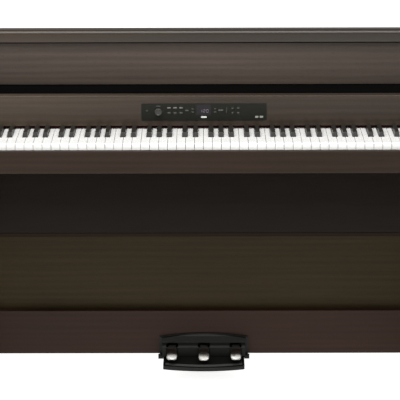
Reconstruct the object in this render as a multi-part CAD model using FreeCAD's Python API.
import FreeCAD, Part
import os
from math import sin, cos, radians, sqrt
from FreeCAD import Vector as V

# Digital piano on a console stand.
# Millimetres.  +X to the player's right, +Y to the back, +Z up.
# Origin: centre of the footprint, on the floor.

os.makedirs("parts", exist_ok=True)

# ------------------------------------------------------------------ sizes
HALF_W = 673.0            # half the overall width
HALF_D = 192.0            # half the overall depth
IN_X = 643.0              # inner faces of the end panels
BED_Z0, BED_Z1 = 666.0, 684.0      # keybed board
CAB_Z0 = 664.0            # underside of the key cabinet ends
TOP_Z0, TOP_Z1 = 890.0, 908.0      # fixed top board

N_WHITE = 52
PITCH = 23.5              # white key pitch
WHITE_W = 22.5            # white key width
KEY_TOP = 743.0           # top of the white keys
WHITE_Y0 = -160.0         # front edge of the white keys
BLACK_Y0 = -98.0         # foot of the black key front
BLACK_TOP = 755.0
BLACK_W0, BLACK_W1 = 13.2, 10.6     # black key width at the foot, at the top
TAIL_Y = 75.0             # rear end of the keys
PIV_Y, PIV_Z = 62.0, 713.0         # key pivot rod
ROD_R, ROD_HOLE_R = 3.0, 3.08

FB_Y0, FB_Y1 = -14.0, -2.0         # fallboard, front and rear faces
FB_Z0, FB_Z1 = 752.6, 836.0
FELT_Z0 = 744.5           # underside of the strip behind the felt
BLOCK_Z1 = 743.0          # top of the blocks beside the keys
LEDGE_Y1 = 12.0           # rear edge of the ledge on the fallboard
PANEL_X, PANEL_Z0, PANEL_Z1 = 168.0, 768.0, 814.0
PANEL_CX = 1.5            # the panel's centre

COV_Y, COV_Z = 28.0, 789.0         # key cover pivot
COV_X = 640.0             # half the key cover's width
COV_FACE = 92.0           # front of the cover board, standing open
COV_BACK = 110.0
COV_LOW, COV_HIGH = 687.0, 996.5
RAIL_Y0, RAIL_Z0 = 73.0, 962.5
COV_PIN_R, COV_HOLE_R = 5.0, 5.06

SPK_Y0, SPK_Z0 = -92.0, 464.0      # speaker box front and underside
SPK_X = 620.0

REAR_Y0, REAR_Y1, REAR_Z0 = 116.0, 134.0, 150.0
PB_Y0, PB_Y1, PB_Z0, PB_Z1 = 90.0, 108.0, 55.6, 184.8

PED_X = (-90.0, 0.0, 90.0)
PED_PIV_Y, PED_PIV_Z, PED_PIN_R, PED_HOLE_R = 72.0, 79.0, 3.0, 3.08


# ------------------------------------------------------------------ helpers
def box(x0, x1, y0, y1, z0, z1):
    return Part.makeBox(x1 - x0, y1 - y0, z1 - z0, V(x0, y0, z0))


def poly(points):
    return Part.Face(Part.makePolygon([V(*p) for p in points] + [V(*points[0])]))


def prism_yz(points, x0, x1):
    return poly([(x0, y, z) for y, z in points]).extrude(V(x1 - x0, 0, 0))


def prism_xz(points, y0, y1):
    return poly([(x, y0, z) for x, z in points]).extrude(V(0, y1 - y0, 0))


def prism_xy(points, z0, z1):
    return poly([(x, y, z0) for x, y in points]).extrude(V(0, 0, z1 - z0))


def cyl_x(x0, x1, y, z, r):
    return Part.makeCylinder(r, x1 - x0, V(x0, y, z), V(1, 0, 0))


def cyl_y(y0, y1, x, z, r):
    return Part.makeCylinder(r, y1 - y0, V(x, y0, z), V(0, 1, 0))


def cyl_z(z0, z1, x, y, r):
    return Part.makeCylinder(r, z1 - z0, V(x, y, z0), V(0, 0, 1))


def cone_y(y0, y1, x, z, r0, r1):
    return Part.makeCone(r0, r1, y1 - y0, V(x, y0, z), V(0, 1, 0))


def edges_where(shape, test):
    out = []
    for e in shape.Edges:
        b = e.BoundBox
        if test(b, e):
            out.append(e)
    return out


def along(b, axis, tol=0.01):
    spans = {"x": (b.YLength, b.ZLength), "y": (b.XLength, b.ZLength), "z": (b.XLength, b.YLength)}[axis]
    return max(spans) < tol


def fillet(shape, r, test):
    es = edges_where(shape, test)
    if not es:
        raise ValueError("no edge to round")
    return shape.makeFillet(r, es)


def chamfer(shape, r, test):
    es = edges_where(shape, test)
    if not es:
        raise ValueError("no edge to chamfer")
    return shape.makeChamfer(r, es)


def round_long(shape, r, axis):
    """Round every straight edge that runs along one axis."""
    return fillet(shape, r, lambda b, e: along(b, axis))


def board(x0, x1, y0, y1, z0, z1, r=1.2):
    """A flat board whose edges are all eased by a small radius."""
    s = box(x0, x1, y0, y1, z0, z1)
    return s.makeFillet(r, s.Edges)


def mirror_x(shape):
    return shape.mirror(V(0, 0, 0), V(1, 0, 0))


def pair(shape):
    return Part.makeCompound([shape, mirror_x(shape)])


def moved(shape, x, y=0.0, z=0.0):
    s = shape.copy()
    s.translate(V(x, y, z))
    return s


def save(name, *shapes):
    solids = []
    for s in shapes:
        solids += s.Solids
    for s in solids:
        if not s.isValid():
            raise ValueError(name + " is not valid")
    c = solids[0] if len(solids) == 1 else Part.makeCompound(solids)
    c.exportStep("parts/" + name + ".step")
    b = c.BoundBox
    print("%-22s %3d solid(s)  x %.1f..%.1f  y %.1f..%.1f  z %.1f..%.1f" % (
        name, len(solids), b.XMin, b.XMax, b.YMin, b.YMax, b.ZMin, b.ZMax))


# ------------------------------------------------------------------ cabinet ends
# Arm profile: flat along the top at the rear, then one slope down to a
# rounded front, so that the closed key cover lies just below its edge.
arm = prism_yz([(HALF_D, CAB_Z0), (HALF_D, TOP_Z1), (88.0, TOP_Z1), (-176.0, 776.0),
                (-HALF_D, 762.0), (-HALF_D, 690.0), (-176.0, CAB_Z0)], IN_X, HALF_W)
arm = fillet(arm, 10.0, lambda b, e: along(b, "x") and b.YMin < -150.0)
arm = fillet(arm, 16.0, lambda b, e: along(b, "x") and 60.0 < b.YMin < 120.0 and b.ZMin > 900.0)
arm = fillet(arm, 2.0, lambda b, e: b.XMin > HALF_W - 0.1 and b.ZMax > CAB_Z0 + 1.0 and b.YMin < 190.0 and not along(b, "x"))
# blind seat for the key cover pin
arm = arm.cut(cyl_x(IN_X - 1.0, IN_X + 15.0, COV_Y, COV_Z, COV_PIN_R))
save("end_panels", pair(arm))

save("cover_pivot_pins", pair(cyl_x(IN_X - 15.0, IN_X + 15.0, COV_Y, COV_Z, COV_PIN_R)))

# ------------------------------------------------------------------ key cabinet
save("keybed", board(-IN_X, IN_X, -162.0, 172.0, BED_Z0, BED_Z1, 0.8))

slip = box(-IN_X, IN_X, -180.0, -162.0, BED_Z0, 726.0)
slip = fillet(slip, 3.0, lambda b, e: along(b, "x") and b.ZMin > 725.0)
slip = fillet(slip, 1.5, lambda b, e: along(b, "x") and b.ZMax < BED_Z0 + 0.1)
save("key_slip", slip)

kb = box(612.5, IN_X, -162.0, FB_Y1, BED_Z1, BLOCK_Z1)
kb = fillet(kb, 2.5, lambda b, e: along(b, "x") and b.YMax < -161.0 and b.ZMin > BLOCK_Z1 - 1.0 or
            (along(b, "y") and b.XMax < 613.0 and b.ZMin > BLOCK_Z1 - 1.0))
save("key_blocks", pair(kb))

# Fallboard: an upright board and the ledge behind its top edge, made as one
# shell, with a window for the control panel and a tab at each end.
fb = prism_yz([(FB_Y0, FB_Z0), (FB_Y1, FB_Z0), (FB_Y1, FB_Z1 - 12.0), (LEDGE_Y1, FB_Z1 - 12.0),
               (LEDGE_Y1, FB_Z1), (FB_Y0, FB_Z1)], -626.0, 626.0)
fb = fillet(fb, 4.0, lambda b, e: along(b, "x") and b.YMax < FB_Y0 + 0.1 and b.ZMin > FB_Z1 - 0.1)
fb = fillet(fb, 2.0, lambda b, e: along(b, "x") and b.YMin > LEDGE_Y1 - 0.1 and b.ZMin > FB_Z1 - 0.1)
fb = fb.cut(box(PANEL_CX - PANEL_X + 2.5, PANEL_CX + PANEL_X - 2.5, FB_Y0 - 5, FB_Y1 + 5, PANEL_Z0 + 2.5, PANEL_Z1 - 2.5))
for s in (-1, 1):
    a, b_ = sorted((s * 625.5, s * IN_X))
    fb = fb.fuse(box(a, b_, FB_Y0 + 0.5, FB_Y1, BLOCK_Z1, 772.0))
    a, b_ = sorted((s * 612.5, s * 626.0))
    fb = fb.fuse(box(a, b_, FB_Y0 + 0.5, FB_Y1, BLOCK_Z1, FB_Z0 + 2.0))
fb = fb.fuse(box(-613.0, 613.0, FB_Y1 - 1.0, 8.0, FB_Z0, FB_Z0 + 4.0))
fb = fb.fuse(box(-613.0, 613.0, 4.0, 8.0, FELT_Z0, FB_Z0 + 1.0))
fb = fb.removeSplitter()
save("fallboard", fb)

felt = box(-611.5, 611.5, 0.5, 4.0, KEY_TOP + 0.6, FB_Z0)
save("key_felt_strip", felt)

top = board(-IN_X, IN_X, 116.0, HALF_D, TOP_Z0, TOP_Z1, 2.0)
save("top_board", top)

back = board(-IN_X, IN_X, 174.0, 186.0, BED_Z1, TOP_Z0, 0.8)
back = back.cut(box(-330.0, -190.0, 170.0, 190.0, 700.0, 740.0))
save("back_panel", back)

# ------------------------------------------------------------------ key frame
frame = box(-611.0, 611.0, -154.0, 84.0, BED_Z1, BED_Z1 + 3.0)
frame = frame.fuse(box(-611.0, 611.0, -146.0, -128.0, BED_Z1, 702.0))      # front guide rail
frame = frame.fuse(box(-611.0, 611.0, 50.0, 74.0, BED_Z1, 701.0))          # balance rail
for s in (-1, 1):
    a, b_ = sorted((s * 611.4, s * 616.5))
    frame = frame.fuse(prism_yz([(44.0, BED_Z1), (84.0, BED_Z1), (76.0, 724.0), (50.0, 724.0)], a, b_))
    a, b_ = sorted((s * 605.0, s * 616.5))
    frame = frame.fuse(box(a, b_, 44.0, 84.0, BED_Z1, BED_Z1 + 3.0))
frame = frame.cut(cyl_x(-620.0, 620.0, PIV_Y, PIV_Z, ROD_R))
frame = frame.removeSplitter()
save("key_frame", frame)
save("key_pivot_rod", cyl_x(-618.0, 618.0, PIV_Y, PIV_Z, ROD_R))

pcb = box(-600.0, 600.0, -84.0, -30.0, BED_Z1 + 3.0, BED_Z1 + 4.6)
strip = box(-600.0, 600.0, -64.0, -50.0, BED_Z1 + 4.6, 698.0)
strip = fillet(strip, 3.0, lambda b, e: along(b, "x") and b.ZMin > 697.0)
save("key_contact_board", pcb.fuse(strip).removeSplitter())

# Main electronics board, standing on four posts in front of the back panel.
main = box(-300.0, -110.0, 163.0, 165.6, 700.0, 800.0)
for cx in (-250.0, -205.0, -160.0):
    main = main.fuse(box(cx - 12.0, cx + 12.0, 165.6, 170.0, 742.0, 778.0))
for cx, cz in ((-290.0, 756.0), (-120.0, 710.0), (-290.0, 790.0), (-120.0, 790.0)):
    main = main.fuse(cyl_y(165.6, 174.0, cx, cz, 4.0))
save("main_circuit_board", main.removeSplitter())

# ------------------------------------------------------------------ keys
# Black key centres, measured from the white-white joint each one straddles.
OFF = {"C": -2.2, "D": 2.5, "F": -3.2, "G": 0.0, "A": 3.3}
NAMES = ["A", "B", "C", "D", "E", "F", "G"]
HAS_RIGHT = {"A": True, "B": False, "C": True, "D": True, "E": False, "F": True, "G": True}
HAS_LEFT = {"A": True, "B": True, "C": False, "D": True, "E": True, "F": False, "G": True}
LEFT_OF = {"A": "G", "B": "A", "D": "C", "E": "D", "G": "F"}
GAP = 0.9                 # between a black key and its neighbours

SIDE_W = [(WHITE_Y0, 723.0), (WHITE_Y0, KEY_TOP), (9.0, KEY_TOP), (18.0, 735.0),
          (TAIL_Y, 724.0), (TAIL_Y, 704.0), (44.0, 704.0), (10.0, 720.0), (-150.0, 720.0)]
SIDE_B = [(BLACK_Y0, 722.0), (BLACK_Y0, 742.0), (BLACK_Y0 + 6.0, BLACK_TOP), (-15.2, BLACK_TOP),
          (-15.2, 740.0), (14.0, 736.0), (TAIL_Y, 724.0), (TAIL_Y, 704.0), (44.0, 704.0), (10.0, 720.0)]


def white_key(note, first=False, last=False):
    """One white key, centred on x = 0, with its notches for the black keys."""
    h = WHITE_W / 2.0
    l, r = -h, h
    yb = BLACK_Y0 - 1.2
    if HAS_LEFT[note] and not first:
        l = -PITCH / 2.0 + OFF[LEFT_OF[note]] + BLACK_W0 / 2.0 + GAP
    if HAS_RIGHT[note] and not last:
        r = PITCH / 2.0 + OFF[note] - BLACK_W0 / 2.0 - GAP
    plan = [(-h, WHITE_Y0), (h, WHITE_Y0)]
    plan += [(h, yb), (r, yb), (r, TAIL_Y)] if r < h else [(h, TAIL_Y)]
    plan += [(l, TAIL_Y), (l, yb), (-h, yb)] if l > -h else [(-h, TAIL_Y)]
    k = prism_yz(SIDE_W, -h, h).common(prism_xy(plan, 698.0, 750.0))
    k = k.removeSplitter()
    # front lip and the two long top edges
    k = fillet(k, 1.6, lambda b, e: along(b, "x") and b.YMax < WHITE_Y0 + 0.1 and b.ZMin > KEY_TOP - 0.1)
    k = fillet(k, 0.6, lambda b, e: along(b, "y") and b.ZMin > KEY_TOP - 0.1 and abs(abs(b.XMin) - h) < 0.01)
    k = k.cut(cyl_x(-20.0, 20.0, PIV_Y, PIV_Z, ROD_HOLE_R))
    return k.Solids[0]


def black_key():
    """One black key, centred on x = 0: sloped front, sides that lean in."""
    a, b_ = BLACK_W0 / 2.0, BLACK_W1 / 2.0
    lean = (a - b_) / (BLACK_TOP - KEY_TOP)
    sec = [(-a, 698.0), (a, 698.0), (a, KEY_TOP), (b_ - lean, BLACK_TOP + 1.0),
           (-b_ + lean, BLACK_TOP + 1.0), (-a, KEY_TOP)]
    k = prism_yz(SIDE_B, -a - 1.0, a + 1.0).common(prism_xz(sec, -130.0, 90.0))
    k = k.removeSplitter()
    for r in (1.3, 1.0, 0.7):
        try:
            k2 = fillet(k, r, lambda b, e: b.ZMin > BLACK_TOP - 0.2 and b.YMin < -20.0)
            if k2.isValid():
                k = k2
                break
        except Exception:
            pass
    k = k.cut(cyl_x(-20.0, 20.0, PIV_Y, PIV_Z, ROD_HOLE_R))
    return k.Solids[0]


def white_note(i):
    return NAMES[i % 7]


def white_x(i):
    return (i - (N_WHITE - 1) / 2.0) * PITCH


_cache = {}


def white_at(i):
    n = white_note(i)
    key = (n, i == 0, i == N_WHITE - 1)
    if key not in _cache:
        _cache[key] = white_key(n, i == 0, i == N_WHITE - 1)
    return moved(_cache[key], white_x(i))


BLACK = black_key()


def black_after(i):
    """The black key between white i and white i + 1."""
    return moved(BLACK, white_x(i) + PITCH / 2.0 + OFF[white_note(i)])


def white_group(a, b):
    return [white_at(i) for i in range(a, b + 1)]


def black_group(a, b):
    return [black_after(i) for i in range(a, b + 1)
            if HAS_RIGHT[white_note(i)] and i < N_WHITE - 1]


# A0 is white 0, C1 is 2, C4 (middle C) is 23, C8 is 51.
save("white_keys_a0_b1", *white_group(0, 8))
save("black_keys_a0_b1", *black_group(0, 8))
save("white_keys_c2_b3", *white_group(9, 22))
save("black_keys_c2_b3", *black_group(9, 22))
save("key_c4", white_at(23))
save("key_c_sharp_4", black_after(23))
save("key_d4", white_at(24))
save("key_d_sharp_4", black_after(24))
save("key_e4", white_at(25))
save("white_keys_f4_e6", *white_group(26, 39))
save("black_keys_f4_e6", *black_group(26, 39))
save("white_keys_f6_c8", *white_group(40, 51))
save("black_keys_f6_c8", *black_group(40, 50))

# ------------------------------------------------------------------ control panel
plate = box(PANEL_CX - PANEL_X, PANEL_CX + PANEL_X, FB_Y0 - 1.6, FB_Y0, PANEL_Z0, PANEL_Z1)
plate = fillet(plate, 2.5, lambda b, e: along(b, "y"))
plate = plate.fuse(box(PANEL_CX - PANEL_X + 3.0, PANEL_CX + PANEL_X - 3.0, FB_Y0, FB_Y1 - 1.0, PANEL_Z0 + 3.0, PANEL_Z1 - 3.0))
KNOB_X, KNOB_Z = -121.0, 792.0
POWER_X, POWER_Z = -151.5, 795.0
WIN = (-18.5, 19.5, 782.0, 811.5)
# (x, z, width, height)
SOUND = [(x, z, 12.0, 5.0) for z in (803.0, 789.0) for x in (-92.3, -76.2, -60.1)]
MENU = [(-44.4, 795.5, 11.0, 5.0), (-28.9, 799.6, 8.0, 4.2), (-28.9, 791.0, 8.0, 4.2),
        (31.4, 800.2, 8.0, 4.2), (31.4, 791.2, 8.0, 4.2), (46.6, 796.2, 15.0, 5.6)]
RECORD = [(78.4, 801.0, 8.5, 5.2), (78.4, 789.0, 8.5, 5.2), (93.6, 801.8, 8.5, 5.2), (93.6, 789.0, 8.5, 5.2)]
plate = plate.cut(cyl_y(-30.0, 20.0, KNOB_X, KNOB_Z, 4.1))
plate = plate.cut(cyl_y(-30.0, 20.0, POWER_X, POWER_Z, 3.9))
for x, z, w, h in SOUND + MENU + RECORD:
    plate = plate.cut(box(x - w / 2 - 0.35, x + w / 2 + 0.35, -30.0, 20.0, z - h / 2 - 0.35, z + h / 2 + 0.35))
plate = plate.cut(box(WIN[0], WIN[1], -30.0, FB_Y0 - 0.2, WIN[2], WIN[3]))
save("control_panel", plate.removeSplitter())

win = box(WIN[0], WIN[1], FB_Y0 - 1.5, FB_Y0 - 0.2, WIN[2], WIN[3])
save("display_window", win)


def button(x, z, w, h, r=0.9):
    """A cap with rounded corners, a wider foot behind the plate."""
    cap = box(x - w / 2, x + w / 2, FB_Y0 - 3.2, FB_Y1, z - h / 2, z + h / 2)
    cap = fillet(cap, r, lambda b, e: along(b, "y"))
    cap = fillet(cap, 0.5, lambda b, e: b.YMax < FB_Y0 - 3.1)
    foot = box(x - w / 2 - 1.0, x + w / 2 + 1.0, FB_Y1 - 0.4, FB_Y1 + 1.6, z - h / 2 - 1.0, z + h / 2 + 1.0)
    return cap.fuse(foot).removeSplitter()


save("sound_buttons", *[button(*b) for b in SOUND])
save("menu_buttons", *[button(*b) for b in MENU])
save("record_buttons", *[button(*b) for b in RECORD])

pw = cyl_y(FB_Y0 - 3.0, FB_Y1, POWER_X, POWER_Z, 3.5)
pw = fillet(pw, 0.6, lambda b, e: b.YMax < FB_Y0 - 2.9)
pw = pw.fuse(cyl_y(FB_Y1 - 0.4, FB_Y1 + 1.6, POWER_X, POWER_Z, 4.8))
save("power_button", pw.removeSplitter())

# Volume knob: a turned cap with a waist, a shallow dish and a pointer groove.
knob = cyl_y(FB_Y0 - 11.0, FB_Y0 - 2.4, KNOB_X, KNOB_Z, 9.6)
knob = fillet(knob, 1.2, lambda b, e: b.YMax < FB_Y0 - 10.9)
knob = knob.fuse(cyl_y(FB_Y0 - 2.6, FB_Y0 - 2.1, KNOB_X, KNOB_Z, 10.2))
knob = knob.cut(cone_y(FB_Y0 - 11.1, FB_Y0 - 10.2, KNOB_X, KNOB_Z, 6.8, 6.0))
knob = knob.cut(box(KNOB_X - 0.6, KNOB_X + 0.6, FB_Y0 - 11.2, FB_Y0 - 10.4, KNOB_Z + 5.0, KNOB_Z + 11.0))
knob = knob.fuse(cyl_y(FB_Y0 - 2.6, FB_Y1 + 4.0, KNOB_X, KNOB_Z, 4.0))
save("volume_knob", knob.removeSplitter())

# ------------------------------------------------------------------ key cover
# Modelled standing open.  It closes by swinging forward about the two pins.
cb = box(-COV_X, COV_X, COV_FACE, COV_BACK, COV_LOW, RAIL_Z0)
cb = fillet(cb, 2.0, lambda b, e: along(b, "x") and b.ZMax < COV_LOW + 0.1)
save("cover_board", cb)

inner = box(-COV_X + 4.0, COV_X - 4.0, COV_FACE - 2.0, COV_FACE, 843.0, 957.0)
save("cover_inner_panel", inner)

rail = prism_yz([(RAIL_Y0, RAIL_Z0), (COV_BACK, RAIL_Z0), (COV_BACK, COV_HIGH), (RAIL_Y0, COV_HIGH)], -COV_X, COV_X)
rail = fillet(rail, 7.0, lambda b, e: along(b, "x") and b.YMax < RAIL_Y0 + 0.1 and b.ZMin > COV_HIGH - 0.1)
rail = fillet(rail, 3.0, lambda b, e: along(b, "x") and b.YMin > COV_BACK - 0.1 and b.ZMin > COV_HIGH - 0.1)
rail = fillet(rail, 1.5, lambda b, e: along(b, "x") and b.YMax < RAIL_Y0 + 0.1 and b.ZMax < RAIL_Z0 + 0.1)
save("cover_rail", rail)

ca = prism_yz([(COV_FACE, 770.0), (COV_FACE, 808.0), (COV_Y + 2.0, 803.0), (COV_Y + 2.0, 775.0)], 630.0, 636.0)
ca = ca.fuse(cyl_x(630.0, 636.0, COV_Y, COV_Z, 14.0))
ca = ca.fuse(box(627.5, 636.0, COV_FACE - 4.0, COV_FACE, 760.0, 818.0))    # screwed flange
ca = ca.cut(cyl_x(620.0, 640.0, COV_Y, COV_Z, COV_HOLE_R))
save("cover_arms", pair(ca.removeSplitter()))

# Rubber stops on the blocks beside the keys: the closed cover's rail rests there.
stop = cyl_z(BLOCK_Z1, BLOCK_Z1 + 4.0, 628.0, -151.0, 4.0)
stop = fillet(stop, 0.8, lambda b, e: b.ZMin > BLOCK_Z1 + 3.9)
save("cover_buffers", pair(stop))

# ------------------------------------------------------------------ speaker box
sp = box(-SPK_X, SPK_X, -70.0, 115.0, SPK_Z0, BED_Z0)
sp = sp.cut(box(-SPK_X + 15.0, SPK_X - 15.0, -71.0, 100.0, SPK_Z0 + 15.0, BED_Z0 - 12.0))
SPKR = ((430.0, 566.0, 58.0), (250.0, 600.0, 24.0))
baf = box(-SPK_X, SPK_X, -82.0, -70.0, SPK_Z0, BED_Z0)
for x, z, r in SPKR:
    for s in (-1, 1):
        baf = baf.cut(cyl_y(-90.0, -60.0, s * x, z, r))
save("speaker_cabinet", sp, baf)      # open box and the board that closes it
drv = []
for x, z, r in SPKR:
    for s in (-1, 1):
        ring = cyl_y(-70.0, -66.0, s * x, z, r + 8.0)
        basket = cone_y(-66.0, -66.0 + r * 0.75, s * x, z, r + 4.0, r * 0.5)
        magnet = cyl_y(-66.0 + r * 0.75, -66.0 + r * 0.75 + r * 0.4, s * x, z, r * 0.62)
        body = ring.fuse(basket).fuse(magnet)
        body = body.cut(cone_y(-70.1, -66.0 + r * 0.55, s * x, z, r - 1.0, r * 0.2))
        drv.append(body.removeSplitter())
save("speaker_drivers", *drv)
cloth = box(-SPK_X, SPK_X, SPK_Y0, -82.0, SPK_Z0 + 10.0, BED_Z0)
cloth = fillet(cloth, 2.0, lambda b, e: b.YMax < SPK_Y0 + 0.1)
save("speaker_cloth_panel", cloth)
trim = box(-SPK_X, SPK_X, SPK_Y0 - 0.5, -82.0, SPK_Z0, SPK_Z0 + 10.0)
trim = fillet(trim, 1.0, lambda b, e: along(b, "x") and b.YMax < SPK_Y0)
save("speaker_trim", trim)

# ------------------------------------------------------------------ stand
side = box(IN_X, HALF_W, 44.0, HALF_D - 2.0, 40.0, CAB_Z0)
side = fillet(side, 2.0, lambda b, e: along(b, "z"))
# Bolts draw the side boards against the ends of the rear and pedal boards.
BOLTS = ((125.0, 620.0), (125.0, 200.0), (99.0, 160.0), (99.0, 85.0))
for y, z in BOLTS:
    side = side.cut(cyl_x(IN_X - 1.0, HALF_W + 1.0, y, z, 3.0)).cut(cyl_x(HALF_W - 4.0, HALF_W + 1.0, y, z, 7.2))
save("side_boards", pair(side))
leg = box(HALF_W - 45.0, HALF_W, -176.0, -131.0, 40.0, CAB_Z0)
leg = leg.cut(box(HALF_W - 46.0, IN_X, -190.0, -120.0, CAB_Z0 - 2.0, CAB_Z0 + 1.0))
leg = fillet(leg, 3.0, lambda b, e: along(b, "z"))
save("front_legs", pair(leg))
foot = prism_yz([(-186.0, 12.0), (188.0, 12.0), (190.0, 16.0), (190.0, 40.0), (-182.0, 40.0), (-190.0, 30.0), (-190.0, 14.0)],
                HALF_W - 45.0, HALF_W)
foot = fillet(foot, 2.0, lambda b, e: b.ZMin > 39.0 and along(b, "y"))
save("foot_rails", pair(foot))
glides = []
for y in (-165.0, 165.0):
    g = cyl_z(0.0, 12.0, HALF_W - 22.5, y, 17.0)
    g = fillet(g, 2.0, lambda b, e: b.ZMax < 0.1)
    glides.append(g)
save("floor_glides", pair(Part.makeCompound(glides)))

rear = board(-IN_X, IN_X, REAR_Y0, REAR_Y1, REAR_Z0, BED_Z0, 0.8)
for y, z in BOLTS[:2]:
    for s in (-1, 1):
        a, b_ = sorted((s * (IN_X - 26.0), s * (IN_X + 5.0)))
        rear = rear.cut(cyl_x(a, b_, y, z, 3.0))
save("rear_board", rear)
pb = box(-IN_X, IN_X, PB_Y0, PB_Y1, PB_Z0, PB_Z1)
pb = fillet(pb, 1.5, lambda b, e: along(b, "x"))
for y, z in BOLTS[2:]:
    for s in (-1, 1):
        a, b_ = sorted((s * (IN_X - 26.0), s * (IN_X + 5.0)))
        pb = pb.cut(cyl_x(a, b_, y, z, 3.0))
save("pedal_board", pb)

bolt = None
for y, z in BOLTS:
    b1 = cyl_x(IN_X - 25.0, HALF_W - 4.0, y, z, 3.0).fuse(cyl_x(HALF_W - 4.0, HALF_W - 0.8, y, z, 7.0))
    b1 = b1.cut(prism_yz([(y + 2.6 * cos(radians(60 * i)), z + 2.6 * sin(radians(60 * i))) for i in range(6)],
                         HALF_W - 3.0, HALF_W))
    bolt = b1.removeSplitter() if bolt is None else Part.makeCompound([bolt, b1.removeSplitter()])
save("stand_bolts", pair(bolt))

# ------------------------------------------------------------------ pedal unit
# Rear flange with an arched top, a short canopy over the levers, and a
# hinge block between each lever and the next, with a pocket for its spring.
FL_X = 126.0


def arched(xh, y, z0, z_end, z_mid, depth):
    w = Part.Wire([
        Part.makeLine(V(-xh, y, z0), V(xh, y, z0)),
        Part.makeLine(V(xh, y, z0), V(xh, y, z_end)),
        Part.Arc(V(xh, y, z_end), V(0, y, z_mid), V(-xh, y, z_end)).toShape(),
        Part.makeLine(V(-xh, y, z_end), V(-xh, y, z0))])
    return Part.Face(w).extrude(V(0, depth, 0))


flange = arched(FL_X, 84.5, 45.0, 108.0, 119.0, 5.5)
hood = prism_yz([(84.6, 118.0), (84.6, 93.0), (75.5, 92.5), (74.0, 94.0), (74.5, 99.0), (79.0, 112.0)], -119.0, 119.0)
hood = hood.common(arched(119.0, 70.0, 45.0, 106.0, 116.5, 20.0))
housing = flange.fuse(hood)
BLOCKS = ((-118.0, -107.0), (-73.0, -17.0), (17.0, 73.0), (107.0, 118.0))
for a, b_ in BLOCKS:
    housing = housing.fuse(prism_yz([(84.6, 57.0), (84.6, 95.0), (76.0, 94.0), (64.0, 89.0), (61.0, 84.0), (61.0, 57.0)], a, b_))
housing = housing.cut(cyl_x(-116.0, 116.0, PED_PIV_Y, PED_PIV_Z, PED_PIN_R))
for x in PED_X:
    housing = housing.cut(cyl_x(x + 16.9, x + 24.6, PED_PIV_Y, PED_PIV_Z, 6.6))
save("pedal_housing", housing.removeSplitter())

# Base plate: bowed front edge, a groove behind the lip and a raised pad.
BZ0, BZ1 = 40.0, 51.0


def bowed(xh, y_mid, y_end, y_back, z0, z1):
    w = Part.Wire([
        Part.makeLine(V(xh, y_end, z0), V(xh, y_back, z0)),
        Part.makeLine(V(xh, y_back, z0), V(-xh, y_back, z0)),
        Part.makeLine(V(-xh, y_back, z0), V(-xh, y_end, z0)),
        Part.Arc(V(-xh, y_end, z0), V(0, y_mid, z0), V(xh, y_end, z0)).toShape()])
    return Part.Face(w).extrude(V(0, 0, z1 - z0))


base = bowed(114.5, -11.0, 4.0, 84.5, BZ0, BZ1)
base = fillet(base, 1.8, lambda b, e: b.XLength > 200.0 and b.YMin < 5.0)
base = base.cut(bowed(110.5, -7.5, 7.5, 90.0, 47.0, 60.0))
pad = bowed(108.0, -3.0, 12.0, 84.5, 45.0, 56.0)
pad = chamfer(pad, 4.5, lambda b, e: b.XLength > 200.0 and b.YMin < 10.0 and b.ZMin > 55.0)
base = base.fuse(pad).removeSplitter()
save("pedal_base", base)

wing = box(115.0, 129.5, 70.0, 84.5, 47.0, 56.5)
plate2 = box(-60.0, 60.0, 90.0, 128.0, PB_Z0 - 9.6, PB_Z0)
plate2 = plate2.cut(cyl_z(40.0, 70.0, 0.0, 114.0, 5.0))
save("pedal_bracket", plate2, pair(fillet(wing, 1.0, lambda b, e: along(b, "z"))))

adj = cyl_z(8.0, PB_Z0 - 0.2, 0.0, 114.0, 4.96).fuse(cyl_z(0.0, 8.0, 0.0, 114.0, 13.0))
adj = adj.fuse(cyl_z(36.0, 42.0, 0.0, 114.0, 11.0))
save("height_adjuster", adj.removeSplitter())

save("pedal_shaft", cyl_x(-116.0, 116.0, PED_PIV_Y, PED_PIV_Z, PED_PIN_R))


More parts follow.
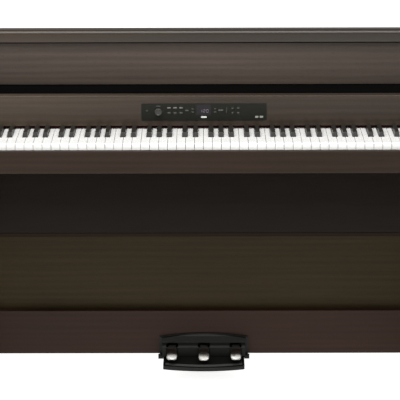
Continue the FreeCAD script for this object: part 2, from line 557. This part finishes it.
def pedal(cx, tip_y):
    """A cast lever: rounded toe, slight downward bow, hub on the shaft."""
    w0, w1 = 14.4, 15.4     # half widths at the hub and near the toe
    plan = Part.Wire([
        Part.makeLine(V(-w0, 80.0, 0), V(w0, 80.0, 0)),
        Part.makeLine(V(w0, 80.0, 0), V(w1, tip_y + 9.0, 0)),
        Part.Arc(V(w1, tip_y + 9.0, 0), V(0, tip_y, 0), V(-w1, tip_y + 9.0, 0)).toShape(),
        Part.makeLine(V(-w1, tip_y + 9.0, 0), V(-w0, 80.0, 0))])
    plan = Part.Face(plan).extrude(V(0, 0, 200.0))
    # side section: top and bottom curves as arcs
    t = tip_y
    top_arc = Part.Arc(V(-20, 80.0, 90.5), V(-20, (80.0 + t) / 2.0, 88.6), V(-20, t + 17.0, 84.0)).toShape()
    toe_arc = Part.Arc(V(-20, t + 17.0, 84.0), V(-20, t + 8.0, 79.0), V(-20, t, 71.6)).toShape()
    under1 = Part.makeLine(V(-20, t, 71.6), V(-20, t + 2.0, 69.9))
    under2 = Part.Arc(V(-20, t + 2.0, 69.9), V(-20, t + 13.0, 74.8), V(-20, t + 32.0, 77.0)).toShape()
    under3 = Part.makeLine(V(-20, t + 32.0, 77.0), V(-20, 80.0, 74.0))
    back_ = Part.makeLine(V(-20, 80.0, 74.0), V(-20, 80.0, 90.5))
    side_ = Part.Face(Part.Wire([top_arc, toe_arc, under1, under2, under3, back_])).extrude(V(40, 0, 0))
    k = side_.common(plan)
    k = k.removeSplitter()
    k = k.fuse(cyl_x(-9.0, 9.0, PED_PIV_Y, PED_PIV_Z, 7.6)).removeSplitter()
    k = k.cut(cyl_x(-30.0, 30.0, PED_PIV_Y, PED_PIV_Z, PED_HOLE_R))
    return moved(k.Solids[0], cx)


save("pedal_soft", pedal(PED_X[0], 0.0))
save("pedal_sostenuto", pedal(PED_X[1], -5.0))
save("pedal_damper", pedal(PED_X[2], 0.0))

# Torsion springs on the shaft, one beside each hub.
spr = []
for x in PED_X:
    t_ = cyl_x(x + 17.5, x + 24.0, PED_PIV_Y, PED_PIV_Z, 6.0).cut(cyl_x(x + 16.0, x + 26.0, PED_PIV_Y, PED_PIV_Z, 3.04))
    spr.append(t_)
save("pedal_springs", *spr)

# ------------------------------------------------------------------ sockets
JACK_X, JACK_Z, JACK_R = (-596.0, -564.0), 652.0, 3.2
hb = box(-612.0, -548.0, -150.0, -98.0, 638.0, BED_Z0)
hb = fillet(hb, 3.0, lambda b, e: b.ZMax < 660.0 and not along(b, "z") and b.ZMin < 639.0)
for x, y in zip(JACK_X, (-115.0, -118.0)):
    hb = hb.cut(cyl_y(-151.0, y, x, JACK_Z, JACK_R))
save("headphone_box", hb)

cp = box(-330.0, -190.0, 171.0, 187.5, 700.0, 740.0)
cp = cp.cut(cyl_y(177.0, 190.0, -310.0, 720.0, 2.8))        # power inlet
for x in (-270.0, -245.0, -220.0):
    cp = cp.cut(cyl_y(177.0, 190.0, x, 720.0, 3.2))         # line sockets
save("connector_panel", cp.removeSplitter())
